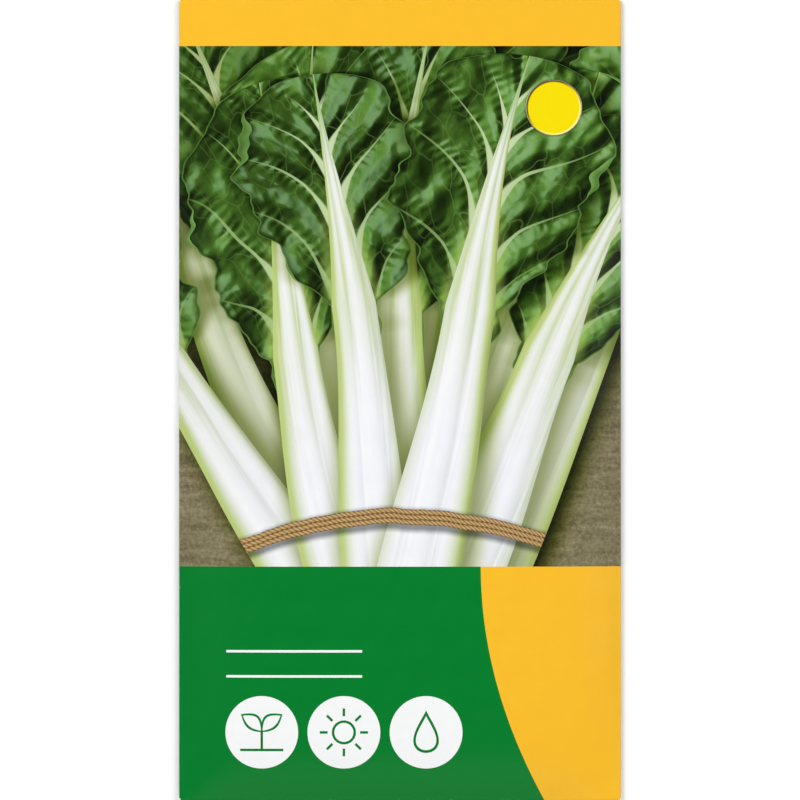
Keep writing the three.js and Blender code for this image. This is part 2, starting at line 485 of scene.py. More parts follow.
# Side veins: their spacing along the midrib, how steeply they climb and how that eases, how far they
# stray from even spacing, and how far they are set up in one half and down in the other
VEIN_SPACING = 12.0
VEIN_CLIMB = 1.3
VEIN_BEND = 0.02
VEIN_DRIFT = 1.5
VEIN_STAGGER = 0.25
# How much steeper a side vein leaves the midrib, and how far out that lasts
VEIN_SLANT = 1.1
VEIN_SLANT_REACH = 5.0
# Half the width of a side vein at the midrib and at the margin, what its joint with the midrib adds
# and how far out, and how much of the width is left at the blade's tip
VEIN_THICK = 0.66
VEIN_THIN = 0.14
JOINT_WIDTH = 0.5
JOINT_REACH = 3.0
VEIN_TIP_WIDTH = 0.3
# Shares of the blade between which the side veins narrow, and between which they vanish
VEINS_NARROW = (0.55, 1.0)
VEINS_VANISH = (0.82, 0.94)

# The puckers along both sides of a side vein, which run across it
CRIMP_HEIGHT = 0.09
CRIMP_LENGTH = 1.9
CRIMP_REACH = 3.4

# The net of fine veins: how fine it is along and across, its slant, how much it wanders, and its line
NET_ALONG = 0.17
NET_ACROSS = 0.2
NET_SLANT = 0.15
NET_WANDER_ALONG = 1.7
NET_WANDER_ACROSS = 1.4
NET_LINE = 0.045

# Heights of the relief: between the side veins, in the meshes of the net, all over, in broad folds,
# along the margin, and of each half as a whole
DOME_HEIGHT = 1.6
MESH_HEIGHT = 1.2
CRINKLE_HEIGHT = 0.55
FOLD_HEIGHT = 4.2
FRILL_HEIGHT = 0.9
ARCH_HEIGHT = 0.32
# Fineness of the wandering, the drift, the folds along and across, and the frill of the margin
WANDER_FINENESS = 0.11
DRIFT_FINENESS = 0.035
FOLD_ALONG = 0.08
FOLD_ACROSS = 0.13
FRILL_TURN = 0.5


def make_blade_relief():
    """Height of the crinkled blade, and masks of its side veins and of the net between them."""
    outputs = {"Height": "Float", "Veins": "Float", "Net": "Float"}
    group, given, leave = new_group("blade_relief", {"Place": "Vector", "Size": "Vector"}, outputs)
    along, across, share = parts(given["Place"])
    half, rib, seed = parts(given["Size"])
    side = sign(across)
    distance = abs(across)
    outward = clamped(distance / larger(half, 0.5))
    wander_place = combine(along * WANDER_FINENESS, across * WANDER_FINENESS, seed * 5.1)
    wander = noise(wander_place, scale=1.0) - 0.5
    drift_place = combine(along * DRIFT_FINENESS, across * DRIFT_FINENESS, seed * 6.7)
    drift = noise(drift_place, scale=1.0, detail=0.0) - 0.5

    from_rib = distance - rib
    slant_left = 1.0 - clamped(from_rib / VEIN_SLANT_REACH)
    slant_climb = (1.0 - slant_left * slant_left) * (VEIN_SLANT * VEIN_SLANT_REACH / 2)
    climb = distance * (VEIN_CLIMB - distance * VEIN_BEND) + slant_climb
    shift = side * VEIN_STAGGER + drift * VEIN_DRIFT + seed
    ridge = 0.5 - abs(fraction((along - climb) / VEIN_SPACING + shift) - 0.5)
    steepness = VEIN_CLIMB - distance * VEIN_BEND * 2.0 + slant_left * VEIN_SLANT
    off_vein = ridge * VEIN_SPACING / root(1.0 + steepness * steepness)
    joint = smooth(from_rib, 0.0, JOINT_REACH, JOINT_WIDTH, 0.0)
    width = mixed(root(outward), VEIN_THICK, VEIN_THIN, "FLOAT") + joint
    width = width * smooth(share, *VEINS_NARROW, 1.0, VEIN_TIP_WIDTH)
    veins = smooth(off_vein, width * 0.5, width, 1.0, 0.0) * smooth(share, *VEINS_VANISH, 1.0, 0.0)
    feed(leave.inputs["Veins"], veins)

    net_along = along * NET_ALONG - distance * NET_SLANT + wander * NET_WANDER_ALONG
    net_across = distance * NET_ACROSS + wander * NET_WANDER_ACROSS + seed * 9.7 + side * 5.3
    net_place = combine(net_along, net_across)
    net_edge = cells(net_place, 1.0, "DISTANCE_TO_EDGE", "2D")
    feed(leave.inputs["Net"], smooth(net_edge, 0.0, NET_LINE, 1.0, 0.0))

    dome = smooth(ridge, 0.0, 0.4) * DOME_HEIGHT
    mesh_dome = cells(net_place, 1.0, "SMOOTH_F1", "2D") * -MESH_HEIGHT
    crinkle = noise(combine(along, across, seed), scale=0.24, roughness=0.4) * CRINKLE_HEIGHT
    fold_place = combine(along * FOLD_ALONG, across * FOLD_ACROSS, seed * 2.9)
    fold = noise(fold_place, scale=1.0, detail=1.0) * FOLD_HEIGHT
    frill = sine(along * FRILL_TURN + wander * 8.0 + side * 1.7 + seed) * outward**2.0 * FRILL_HEIGHT
    arch = sine(seed * 3.0 + side * 1.2) * distance * outward * ARCH_HEIGHT
    along_vein = (distance + along * VEIN_CLIMB) / math.hypot(1.0, VEIN_CLIMB)
    crimp = sine(along_vein * (2 * math.pi / CRIMP_LENGTH) + wander * 14.0)
    crimp = crimp * smooth(off_vein, 0.3, CRIMP_REACH, CRIMP_HEIGHT, 0.0)
    feed(leave.inputs["Height"], dome + mesh_dome + crinkle + fold + frill + arch + crimp)
    return group


BLADE_STOPS = (
    (0.1, ink(13, 27, 1)),
    (0.34, ink(35, 59, 10)),
    (0.56, ink(64, 101, 32)),
    (0.76, ink(102, 148, 62)),
    (0.98, ink(150, 190, 106)),
)
BLADE_SHEEN = ink(150, 186, 152)
BLADE_MARGIN = ink(102, 148, 62)
BLADE_BASE = ink(158, 192, 88)
UNDERSIDE = ink(124, 174, 84)
VEIN_ROOT = ink(216, 228, 188)
VEIN_END = ink(140, 180, 92)

# What a blade's tone is made of: a base, and how it faces the light, broad and fine variation, and
# the leaf's own lightness
TONE_BASE = 0.01
TONE_FACING = 0.7
TONE_BROAD = 0.4
TONE_GRAIN = 0.1
TONE_LEAF = 0.18
BROAD_FINENESS = 0.05
# Distance over which the slope of the relief is measured
RELIEF_STEP = 0.3
# How squarely the blade has to mirror the light before it shines, and how much it shines then
SHEEN_START = 0.88
SHEEN = 0.28

# The pale base of a blade beside its midrib: its strength, width, upper end and extra lightness
BASE_STRENGTH = 0.85
BASE_WIDTH = 2.6
BASE_END = 0.6
BASE_LIFT = 0.35

# Strength of the net and of the side veins' colour at the midrib and at the margin
NET_STRENGTH = (0.26, 0.1)
VEIN_STRENGTH = (1.0, 0.3)

# The margin that curls over: its width, where along the blade it does, and the width of the shadow
# beside it with the light that is left there
CURL_WIDTH = 2.4
CURL_FINENESS = 0.04
CURL_LEVELS = (0.5, 0.72)
CURL_SHARES = (0.05, 0.25)
CURL_SHADOW = 1.6
CURL_SHADE = 0.35
# The thin light line along the margin: where it is full and where it ends, and its strength
MARGIN_LINE = (0.1, 0.45)
MARGIN_STRENGTH = 0.6


def blade_colour(tree, relief, spot, size, lit):
    """The green of a blade with its veins, its sheen and the underside where its margin curls over."""
    along, across, share = parts(spot)
    half, rib, seed = parts(size)
    _, sine_lean, cosine_lean = parts(lit)
    here = place(relief, tree, {"Place": spot, "Size": size})
    ahead = place(relief, tree, {"Place": combine(along + RELIEF_STEP, across, share), "Size": size})
    aside = place(relief, tree, {"Place": combine(along, across + RELIEF_STEP, share), "Size": size})
    rise_along = (ahead["Height"] - here["Height"]) / RELIEF_STEP
    rise_across = (aside["Height"] - here["Height"]) / RELIEF_STEP
    light_along = sine_lean * LEAF_LIGHT.x + cosine_lean * LEAF_LIGHT.y
    light_across = cosine_lean * LEAF_LIGHT.x - sine_lean * LEAF_LIGHT.y
    steepness = root(1.0 + rise_along * rise_along + rise_across * rise_across)
    turned_away = rise_along * light_along + rise_across * light_across
    facing = (LEAF_LIGHT.z - turned_away) / steepness
    glint = (LEAF_LIGHT.z + 1.0 - turned_away) / (steepness * math.sqrt(2 + 2 * LEAF_LIGHT.z))

    broad_place = combine(along * BROAD_FINENESS, across * BROAD_FINENESS, seed * 3.3)
    broad = noise(broad_place, scale=1.0) - 0.5
    grain = noise(combine(along, across, seed), scale=1.7, detail=3.0, roughness=0.6) - 0.5
    tone = facing * TONE_FACING + TONE_BASE + broad * TONE_BROAD + grain * TONE_GRAIN
    tone = tone + fraction(seed * 1.7) * TONE_LEAF
    colour = ramp(tone, BLADE_STOPS)
    colour = mixed(smooth(glint, SHEEN_START, 1.0) * SHEEN, colour, BLADE_SHEEN)

    distance = abs(across)
    outward = clamped(distance / larger(half, 0.5))
    at_base = smooth(distance - rib, 0.0, BASE_WIDTH, 1.0, 0.0)
    at_base = at_base * smooth(share, 0.0, BASE_END, BASE_STRENGTH, 0.0)
    colour = mixed(at_base, colour, darkened(BLADE_BASE, clamped(tone + BASE_LIFT)))
    vein = mixed(root(outward), VEIN_ROOT, VEIN_END)
    colour = mixed(here["Net"] * smooth(outward, 0.0, 0.9, *NET_STRENGTH), colour, VEIN_END)
    colour = mixed(here["Veins"] * smooth(outward, 0.1, 1.0, *VEIN_STRENGTH), colour, vein)

    inset = half - distance
    curl_here = noise_along(along * CURL_FINENESS + sign(across) * 23.9 + seed * 16.1, detail=1.0)
    curl = CURL_WIDTH * smooth(curl_here, *CURL_LEVELS) * smooth(share, *CURL_SHARES)
    colour = darkened(colour, smooth(inset - curl, 0.0, CURL_SHADOW, CURL_SHADE, 1.0))
    rounding = smooth(inset / larger(curl, 0.4), 0.0, 1.0, 0.5, 1.0)
    ribs = sine((along + distance * 0.6) * 1.1 + broad * 9.0) * 0.09
    underside = darkened(UNDERSIDE, clamped(rounding * (0.8 + broad + ribs)))
    colour = mixed(inset < curl, colour, underside)
    return mixed(smooth(inset, *MARGIN_LINE, MARGIN_STRENGTH, 0.0), colour, BLADE_MARGIN)


STALK_STOPS = (
    (0.0, ink(112, 122, 84)),
    (0.3, ink(176, 184, 160)),
    (0.52, ink(218, 222, 220)),
    (0.74, ink(240, 241, 246)),
    (1.0, ink(252, 252, 255)),
)
STALK_EDGE = ink(190, 207, 128)
FLUTES = 7.5

# What a stalk's tone is made of: a base, its flutes, its rounding, its streaks and its dark edges
STALK_BASE = 0.67
STALK_FLUTE = 0.2
STALK_TURN = 0.1
STALK_STREAK = 0.4
STALK_RIM = 0.24
STALK_RIM_START = 0.78

# Yellow-green of a stalk: on one side of it, at both edges, and near the blade
GREEN_SIDE = 0.7
GREEN_SIDE_LEVELS = (0.4, 0.95)
GREEN_EDGE = 0.36
GREEN_EDGE_START = 0.6
GREEN_NEAR_BLADE = (-0.55, 0.15)
GREEN_GROOVE = 0.6
GREEN_ALL_OVER = 0.12
# How green the midrib is at the blade's tip
MIDRIB_END = 0.85


def stalk_colour(spot, size):
    """The white of a fluted stalk or midrib, yellow-green at its edges and towards the blade."""
    along, across, share = parts(spot)
    _, rib, seed = parts(size)
    turn = across / rib
    edge = abs(turn)
    streak_place = combine(across * 1.1, along * 0.025, seed * 4.7)
    streaks = noise(streak_place, scale=1.0, detail=3.0, roughness=0.55) - 0.5
    flute = abs(sine(turn * FLUTES * 0.5 + seed * 3.0 + streaks * 2.4))
    tone = STALK_BASE + flute * STALK_FLUTE - turn * STALK_TURN + streaks * STALK_STREAK
    tone = tone - smooth(edge, STALK_RIM_START, 1.0) * STALK_RIM
    near_blade = smooth(share, *GREEN_NEAR_BLADE)
    green_side = turn * sign(sine(seed * 5.0))
    green = smooth(green_side, *GREEN_SIDE_LEVELS) * GREEN_SIDE
    green = green + smooth(edge, GREEN_EDGE_START, 1.0) * GREEN_EDGE
    green = green + near_blade * ((1.0 - flute) * GREEN_GROOVE + GREEN_ALL_OVER)
    colour = mixed(clamped(green), ramp(tone, STALK_STOPS), darkened(STALK_EDGE, clamped(tone + 0.3)))
    return mixed(smooth(share, 0.5, 1.0, 0.0, MIDRIB_END), colour, VEIN_END)


LEAF_LENGTH = 108.0
FAN_ROOT_Y = -38.0
FAN_ROOT_SPREAD = 15.0
FAN_HALF_ANGLE = math.radians(28)
# Leaves of each row from the back to the front: how many, their spread, light and length
LEAF_ROWS = ((5, 0.9, 0.72, 1.15), (5, 1.1, 0.96, 1.04), (4, 0.66, 1.0, 1.0))
# Least and most of what is drawn at random for each leaf, with its widths as half widths
STRAY_LEAN = (-0.07, 0.07)
STRAY_LENGTH = (0.94, 1.05)
BLADE_START = (0.46, 0.58)
BLADE_WIDTH = (16.0, 20.0)
STALK_WIDTH = (7.2, 8.8)
STRAY_BEND = (-0.13, 0.13)
SEED_MOST = 10.0
# How much the outermost leaves bend towards the middle
INWARD_BEND = 0.06
FAN_SEED = 11


def fan_of_leaves():
    """Leaves from the back to the front, each row from its sides to its middle."""
    rng = np.random.default_rng(FAN_SEED)
    leaves = []
    for count, spread_share, light, size in LEAF_ROWS:
        turns = sorted(np.linspace(-spread_share, spread_share, count), key=abs, reverse=True)
        for turn in turns:
            leaves.append(
                {
                    "Root": (turn * FAN_ROOT_SPREAD, FAN_ROOT_Y, 0.0),
                    "Lean": float(turn * FAN_HALF_ANGLE + rng.uniform(*STRAY_LEAN)),
                    "Length": float(LEAF_LENGTH * size * rng.uniform(*STRAY_LENGTH)),
                    "Blade Start": float(rng.uniform(*BLADE_START)),
                    "Blade Width": float(rng.uniform(*BLADE_WIDTH)),
                    "Stalk Width": float(rng.uniform(*STALK_WIDTH)),
                    "Bend": float(rng.uniform(*STRAY_BEND) - turn * INWARD_BEND),
                    "Seed": float(rng.uniform(0.0, SEED_MOST)),
                    "Light": light,
                }
            )
    return leaves


# The tie: its height in the picture, its drop towards the sides, its strands, and its shadow
TIE_Y = -23.0
TIE_DROP = 0.006
TIE_STRAY = 1.2
TIE_STRANDS = 3
STRAND_WIDTH = 1.05
STRAND_TWIST = 6.5
TIE_SHADOW = 1.5
TIE_SHADE = 0.7
TIE_SHADOW_DROP = 0.6
JUTE_STOPS = (
    (0.2, ink(66, 46, 24)),
    (0.55, ink(158, 122, 74)),
    (0.9, ink(214, 184, 132)),
)
SHADE_STOPS = (
    (0.0, ink(0, 0, 0)),
    (0.3, ink(70, 80, 34)),
    (0.5, ink(142, 152, 92)),
    (0.75, ink(212, 217, 184)),
    (1.0, ink(255, 255, 255)),
)


def with_tie(picture, on_leaf, x, y):
    """The picture with a jute tie wound round the stalks."""
    height = y - TIE_Y + TIE_DROP * x * x + noise_along(x * 0.12) * TIE_STRAY
    half = TIE_STRANDS * STRAND_WIDTH / 2
    shadow = smooth(abs(height + TIE_SHADOW_DROP), half, half + TIE_SHADOW, TIE_SHADE, 0.0)
    picture = darkened(picture, 1.0 - shadow * on_leaf)
    strand = fraction((height + half) / STRAND_WIDTH) - 0.5
    crown = root(1.0 - 3.6 * strand * strand)
    twist = sine(x * STRAND_TWIST + strand * 9.0)
    fuzz = noise(combine(x, height * 2.0), scale=2.6, detail=3.0, roughness=0.6)
    jute = ramp(crown * 0.6 + twist * 0.16 + fuzz * 0.4 - 0.1, JUTE_STOPS)
    return mixed((abs(height) < half) * on_leaf, picture, jute)


TABLE_STOPS = (
    (0.34, ink(82, 76, 52)),
    (0.5, ink(128, 120, 88)),
    (0.66, ink(162, 153, 124)),
)
# Fineness of the table's grain to the right and up, and its share of the tone beside the grit's
TABLE_GRAIN = (0.1, 0.6)
TABLE_GRAIN_SHARE = 0.45
# Size of the table's pits from their middle to their rim, and their darkness
PIT_SIZE = (0.04, 0.22)
PIT_SHADE = 0.72


def table_colour(point):
    """Brown board with grain, grit and pits."""
    x, y, _ = parts(point)
    grain_x, grain_y = TABLE_GRAIN
    grain = noise(combine(x * grain_x, y * grain_y, 3.0), scale=1.0, detail=5.0, roughness=0.65)
    grit = noise(point, scale=1.3, detail=5.0, roughness=0.75)
    pits = smooth(cells(combine(x * 1.6, y * 1.9), 1.0), *PIT_SIZE, PIT_SHADE, 1.0)
    tone = grain * TABLE_GRAIN_SHARE + grit * (1.0 - TABLE_GRAIN_SHARE)
    return darkened(ramp(tone, TABLE_STOPS), pits)


def chard_picture(tree, point):
    """A tied fan of chard leaves on a table."""
    layer = make_leaf_layer()
    relief = make_blade_relief()
    state = {"Place": (0.0, 0.0, 0.0), "Size": (1.0, 1.0, 0.0), "Lit": (1.0, 0.0, 1.0)}
    on_leaf = None
    for leaf in fan_of_leaves():
        below = {f"Below {name}": value for name, value in state.items()}
        state = place(layer, tree, {"Point": point, **leaf, **below})
        inside = state.pop("Inside")
        on_leaf = inside if on_leaf is None else larger(on_leaf, inside)
    spot, size, lit = state["Place"], state["Size"], state["Lit"]
    _, across, _ = parts(spot)
    _, rib, _ = parts(size)
    on_stalk = (abs(across) < rib) * on_leaf
    leaf = mixed(on_stalk, blade_colour(tree, relief, spot, size, lit), stalk_colour(spot, size))
    light = parts(lit)[0]
    shade = ramp(light + (1.0 - light) * on_stalk * STALK_GLOW, SHADE_STOPS)
    x, y, _ = parts(point)
    return with_tie(multiplied(mixed(on_leaf, table_colour(point), leaf), shade), on_leaf, x, y)


# The front print


def disc(x, y, centre_x, centre_y, radius):
    right = x - centre_x
    up = y - centre_y
    return root(right * right + up * up) < radius


def bar(x, y, left, right, middle_y, thickness):
    return (x > left) * (x < right) * (abs(y - middle_y) < thickness / 2)


# Layout of the marks, in millimetres from the middle of their discs
MARK_LINE = 0.52

# The sprout: its stem and its soil, then its leaves with the fork that they grow from, the way the right
# one points, their length, half width and bend, and how far their line reaches out and in
STEM_BOTTOM = -3.4
STEM_TOP = 0.4
SOIL_HALF = 4.4
SOIL_Y = -3.6
FORK_Y = 0.2
SPROUT_WAY = (0.77, 0.64)
SPROUT_LENGTH = 5.2
SPROUT_HALF = 1.35
SPROUT_BEND = 0.35
LINE_OUTWARD = 0.3
LINE_INWARD = 0.2


def sprout_leaf(right, up, grown):
    """One leaf of the sprout, grown by this much past its middle line."""
    way_right, way_up = SPROUT_WAY
    along = (right * way_right + up * way_up + grown) / (SPROUT_LENGTH + 2 * grown)
    across = up * way_right - right * way_up
    arch = sine(math.pi * clamped(along))
    blade = abs(across - SPROUT_BEND * arch) < (SPROUT_HALF + grown) * arch
    return blade * (along > 0.0) * (along < 1.0)


def sprout_mark(x, y):
    """Two leaves on a stem over a line of soil, drawn in lines."""
    stem = bar(y, x, STEM_BOTTOM, STEM_TOP, 0.0, MARK_LINE)
    soil = bar(x, y, -SOIL_HALF, SOIL_HALF, SOIL_Y, MARK_LINE)
    right = abs(x)
    up = y - FORK_Y
    leaves = sprout_leaf(right, up, LINE_OUTWARD) - sprout_leaf(right, up, -LINE_INWARD)
    return clamped(stem + soil + leaves)


SUN_RAYS = 8
SUN_RADIUS = 2.2
RAY_START = 3.3
RAY_END = 4.9


def sun_mark(x, y):
    """A ring with rays."""
    radius = root(x * x + y * y)
    turn = calculate(x.tree, "ARCTAN2", y, x) * (SUN_RAYS / (2 * math.pi))
    offset = abs(fraction(turn + 0.5) - 0.5) * radius * (2 * math.pi / SUN_RAYS)
    rays = (offset < MARK_LINE / 2) * (radius > RAY_START) * (radius < RAY_END)
    ring = abs(radius - SUN_RADIUS) < MARK_LINE / 2
    return larger(ring, rays)


# The drop: its foot, height, fullness and taper, and its inner outline, which is the same shape made
# smaller about this middle
DROP_FOOT = -4.2
DROP_HEIGHT = 8.8
DROP_FULLNESS = 7.4
DROP_TAPER = 1.25
DROP_MIDDLE = -1.3
DROP_INNER = 0.8


def drop_shape(x, y):
    height = clamped((y - DROP_FOOT) / DROP_HEIGHT)
    return abs(x) < DROP_FULLNESS * root(height) * (1.0 - height) ** DROP_TAPER


def drop_mark(x, y):
    """A drop of water, drawn in lines."""
    inner_y = (y - DROP_MIDDLE) / DROP_INNER + DROP_MIDDLE
    return drop_shape(x, y) - drop_shape(x / DROP_INNER, inner_y)


def front_print(tree, point, half_height):
    """The whole front: band, picture, panel, accent and marks."""
    x, y, _ = parts(point)
    panel_top = PANEL_HEIGHT - half_height
    picture = chard_picture(tree, point)
    down = (panel_top - y) / PANEL_HEIGHT
    accent = x > ACCENT_TOP_X + ACCENT_SWEEP * down * down
    panel = mixed(accent, GREEN, YELLOW)
    for rise in RULE_RISE:
        rule = bar(x, y, RULE_LEFT, RULE_RIGHT, rise - half_height, RULE_THICKNESS)
        panel = mixed(rule, panel, WHITE_INK)
    for centre_x, mark in zip(DISC_X, (sprout_mark, sun_mark, drop_mark)):
        centre_y = DISC_RISE - half_height
        panel = mixed(disc(x, y, centre_x, centre_y, DISC_RADIUS), panel, WHITE_INK)
        panel = mixed(mark(x - centre_x, y - centre_y), panel, GREEN)
    lower = mixed(y > panel_top, panel, picture)
    return mixed(y > half_height - BAND_HEIGHT, lower, YELLOW)


# Materials


def new_material(name, roughness, coat=0.0, coat_roughness=0.22, gloss=0.5):
    """A material with its node tree, its shader and a point in millimetres."""
    material = bpy.data.materials.new(name)
    material.use_nodes = True
    tree = material.node_tree
    shader = tree.nodes["Principled BSDF"]
    shader.inputs["Roughness"].default_value = roughness
    shader.inputs["Coat Weight"].default_value = coat
    shader.inputs["Coat Roughness"].default_value = coat_roughness
    shader.inputs["Specular IOR Level"].default_value = gloss
    where = tree.nodes.new("ShaderNodeTexCoord")
    scale = tree.nodes.new("ShaderNodeVectorMath")
    scale.operation = "SCALE"
    scale.inputs["Scale"].default_value = 1 / MM
    tree.links.new(where.outputs["Object"], scale.inputs[0])
    return material, tree, shader, Value(scale.outputs[0])


def bump(tree, shader, height, depth, strength=1.0):
    """Relief of this depth in metres where the height is 1."""
    node = tree.nodes.new("ShaderNodeBump")
    node.inputs["Strength"].default_value = strength
    node.inputs["Distance"].default_value = depth
    feed(node.inputs["Height"], height)
    tree.links.new(node.outputs["Normal"], shader.inputs["Normal"])


# Wear at the folds: how far in it reaches in millimetres, and how much it pales, roughens and sinks
WEAR_WIDTH = 0.9
WEAR_PALENESS = 0.4
WEAR_ROUGHNESS = 0.3
WEAR_DEPTH = 0.6


def printed(name, fibre, wear, colour_of, half_width, half_height):
    """Varnished print on coated paper, with ink cracked along the folds."""
    material, tree, shader, point = new_material(name, roughness=0.5, coat=0.05, gloss=0.06)
    x, y, _ = parts(point)
    texture = place(fibre, tree, {"Point": point, "Coarseness": 1.0})
    to_fold = smaller(half_width - abs(x), half_height - abs(y))
    worn = place(wear, tree, {"Point": point, "Distance": to_fold, "Width": WEAR_WIDTH})["Mask"]
    colour = mixed(worn * WEAR_PALENESS, colour_of(tree, point), PAPER_WHITE)
    mottle = texture["Mottle"]
    feed(shader.inputs["Base Color"], darkened(colour, between(mottle, 0.92, 0.97)))
    feed(shader.inputs["Roughness"], between(mottle, 0.44, 0.56) + worn * WEAR_ROUGHNESS)
    bump(tree, shader, texture["Height"] - worn * WEAR_DEPTH, depth=0.02 * MM, strength=0.6)
    return material


def bare_paper(name, fibre, colour):
    """Uncoated paper, mottled between this colour and the paper's white."""
    material, tree, shader, point = new_material(name, roughness=0.85)
    texture = place(fibre, tree, {"Point": point, "Coarseness": 0.8})
    mottled = mixed(texture["Mottle"], colour, PAPER_WHITE)
    # Darker where the fibre relief is low and lighter where it is high: painted shade in its hollows and
    # painted light on its rises
    feed(shader.inputs["Base Color"], darkened(mottled, between(texture["Height"], 0.96, 1.02)))
    bump(tree, shader, texture["Height"], depth=0.04 * MM)
    return material


FLAP_GREEN = ink(0, 120, 44)


def plain_green(tree, point):
    mottle = noise(point, scale=0.12)
    return mixed(mottle, GREEN, FLAP_GREEN)


# Layout of the back print, in millimetres. Of its boxes, some of the upper row left of the middle are
# filled in green, and some of the lower row right of the middle in yellow.
BACK_PAPER = ink(214, 216, 204)
PALE_GREEN = ink(160, 196, 160)
LINE_GREEN = ink(70, 140, 84)
BACK_EDGE = 42.5
BACK_INSET = 36.0
BOX = 6.0
BOX_FILL = 0.84
GREEN_BOXES = 4
YELLOW_BOXES = 5
STRIP_Y = 42.0
NOTES_TOP = 26.0
NOTES_BOTTOM = -60.0
NOTES_SPACING = 8.0
NOTES_LINE = 0.35


def back_print(tree, point):
    """Pale back with green sides, two rows of twelve boxes and ruled lines for notes."""
    x, y, _ = parts(point)
    colour = mixed(abs(x) > BACK_EDGE, BACK_PAPER, GREEN)
    in_strip = (abs(x) < BACK_INSET) * (abs(y - STRIP_Y) < BOX)
    column = fraction((x + BACK_INSET) / BOX)
    row = fraction((y - STRIP_Y) / BOX)
    box = in_strip * (abs(column - 0.5) < BOX_FILL / 2) * (abs(row - 0.5) < BOX_FILL / 2)
    colour = mixed(box, colour, PALE_GREEN)
    upper_filled = (y > STRIP_Y) * (x > -GREEN_BOXES * BOX) * (x < 0.0)
    lower_filled = (y < STRIP_Y) * (x > 0.0) * (x < YELLOW_BOXES * BOX)
    colour = mixed(box * upper_filled, colour, GREEN)
    colour = mixed(box * lower_filled, colour, YELLOW)
    on_line = abs(fraction(y / NOTES_SPACING) - 0.5) < NOTES_LINE / NOTES_SPACING / 2
    ruled = on_line * (abs(x) < BACK_INSET) * (y < NOTES_TOP) * (y > NOTES_BOTTOM)
    return mixed(ruled, colour, LINE_GREEN)


GLUE_DARK = ink(226, 220, 200)
GLUE_LIGHT = ink(240, 236, 224)


def glue_material():
    """Dried glue, smooth and streaky."""
    material, tree, shader, point = new_material("dry_glue", roughness=0.35, coat=0.2)
    streaks = noise(point, scale=0.6, detail=4.0, roughness=0.6)
    feed(shader.inputs["Base Color"], mixed(streaks, GLUE_DARK, GLUE_LIGHT))
    feed(shader.inputs["Roughness"], between(streaks, 0.25, 0.55))
    bump(tree, shader, streaks, depth=0.05 * MM)
    return material


HUSK_STOPS = (
    (0.25, ink(92, 68, 40)),
    (0.5, ink(158, 128, 84)),
    (0.75, ink(200, 176, 130)),
)
CORK_SHARE = 0.7


def husk_material():
    """Corky, pitted seed husk."""
    material, tree, shader, point = new_material("seed_husk", roughness=0.9)
    cork = noise(point, scale=1.1, detail=6.0, roughness=0.7)
    pits = cells(point, 1.8)
    tone = cork * CORK_SHARE + smooth(pits, 0.0, 0.5) * (1.0 - CORK_SHARE)
    feed(shader.inputs["Base Color"], ramp(tone, HUSK_STOPS))
    feed(shader.inputs["Roughness"], between(cork, 0.8, 1.0))
    bump(tree, shader, tone, depth=0.25 * MM)
    return material


LABEL_YELLOW = ink(245, 222, 1)
LABEL_DEEP_YELLOW = ink(242, 218, 0)
# The bevel painted in light and shade at the rim of the face: its width, the way to its light, which comes
# from the upper left, and between which levels of facing that light it gets painted shade and a painted
# highlight
BEVEL_WIDTH = 0.42
LIGHT_LEFT = 0.66
LIGHT_UP = 0.75
BEVEL_SHADE = ink(92, 76, 6)
BEVEL_SHADE_LEVELS = (-0.2, 0.6)
BEVEL_SHADE_STRENGTH = 0.95
BEVEL_HIGHLIGHT = ink(255, 250, 150)
BEVEL_HIGHLIGHT_LEVELS = (-0.9, 0.0)
BEVEL_HIGHLIGHT_STRENGTH = 0.9


def label_paper(fibre, centre, radius):
    """Yellow paper with painted shade at the upper left of its rim and a painted highlight at its lower
    right, as of a bevel lit from the upper left.
    """
    material, tree, shader, point = new_material(
        "label_paper", roughness=0.4, coat=0.1, coat_roughness=0.2, gloss=0.1
    )
    texture = place(fibre, tree, {"Point": point, "Coarseness": 0.7})
    x, y, _ = parts(point)
    right = x - centre.x / MM
    up = y - centre.y / MM
    distance = larger(root(right * right + up * up), 0.1)
    to_light = (up * LIGHT_UP - right * LIGHT_LEFT) / distance
    # Painted shade and a painted highlight at the rim, dark where it faces the light from the upper left
    # and light opposite
    bevel = smooth(distance, radius / MM - BEVEL_WIDTH, radius / MM - BEVEL_WIDTH * 0.5)
    shade = bevel * smooth(to_light, *BEVEL_SHADE_LEVELS, 0.0, BEVEL_SHADE_STRENGTH)
    painted_highlight = bevel * smooth(to_light, *BEVEL_HIGHLIGHT_LEVELS, BEVEL_HIGHLIGHT_STRENGTH, 0.0)
    colour = mixed(texture["Mottle"], LABEL_YELLOW, LABEL_DEEP_YELLOW)
    colour = mixed(shade, colour, BEVEL_SHADE)
    colour = mixed(painted_highlight, colour, BEVEL_HIGHLIGHT)
    feed(shader.inputs["Base Color"], colour)
    bump(tree, shader, texture["Height"], depth=0.012 * MM, strength=0.5)
    return material


FOIL_DARK = ink(142, 139, 126)
FOIL_LIGHT = ink(168, 165, 152)


def silver_foil(fibre):
    material, tree, shader, point = new_material("silver_foil", roughness=0.3)
    shader.inputs["Metallic"].default_value = 1.0
    texture = place(fibre, tree, {"Point": point, "Coarseness": 0.5})
    feed(shader.inputs["Base Color"], mixed(texture["Mottle"], FOIL_DARK, FOIL_LIGHT))
    feed(shader.inputs["Roughness"], between(texture["Height"], 0.3, 0.5))
    bump(tree, shader, texture["Height"], depth=0.01 * MM, strength=0.5)
    return material


TABLE_TOP_GREY = ink(252, 252, 252)
TABLE_TOP_WHITE = ink(255, 255, 255)


def table_top():
    """The pale table that the packet lies on, with a faint grain."""
    material, tree, shader, point = new_material("pale_table", roughness=0.9)
    grain = noise(point, scale=0.05, detail=4.0, roughness=0.6)
    feed(shader.inputs["Base Color"], mixed(grain, TABLE_TOP_GREY, TABLE_TOP_WHITE))
    relief = noise(point, scale=0.8, detail=3.0, roughness=0.6)
    bump(tree, shader, relief, depth=0.02 * MM, strength=0.3)
    return material


# The folded sheet


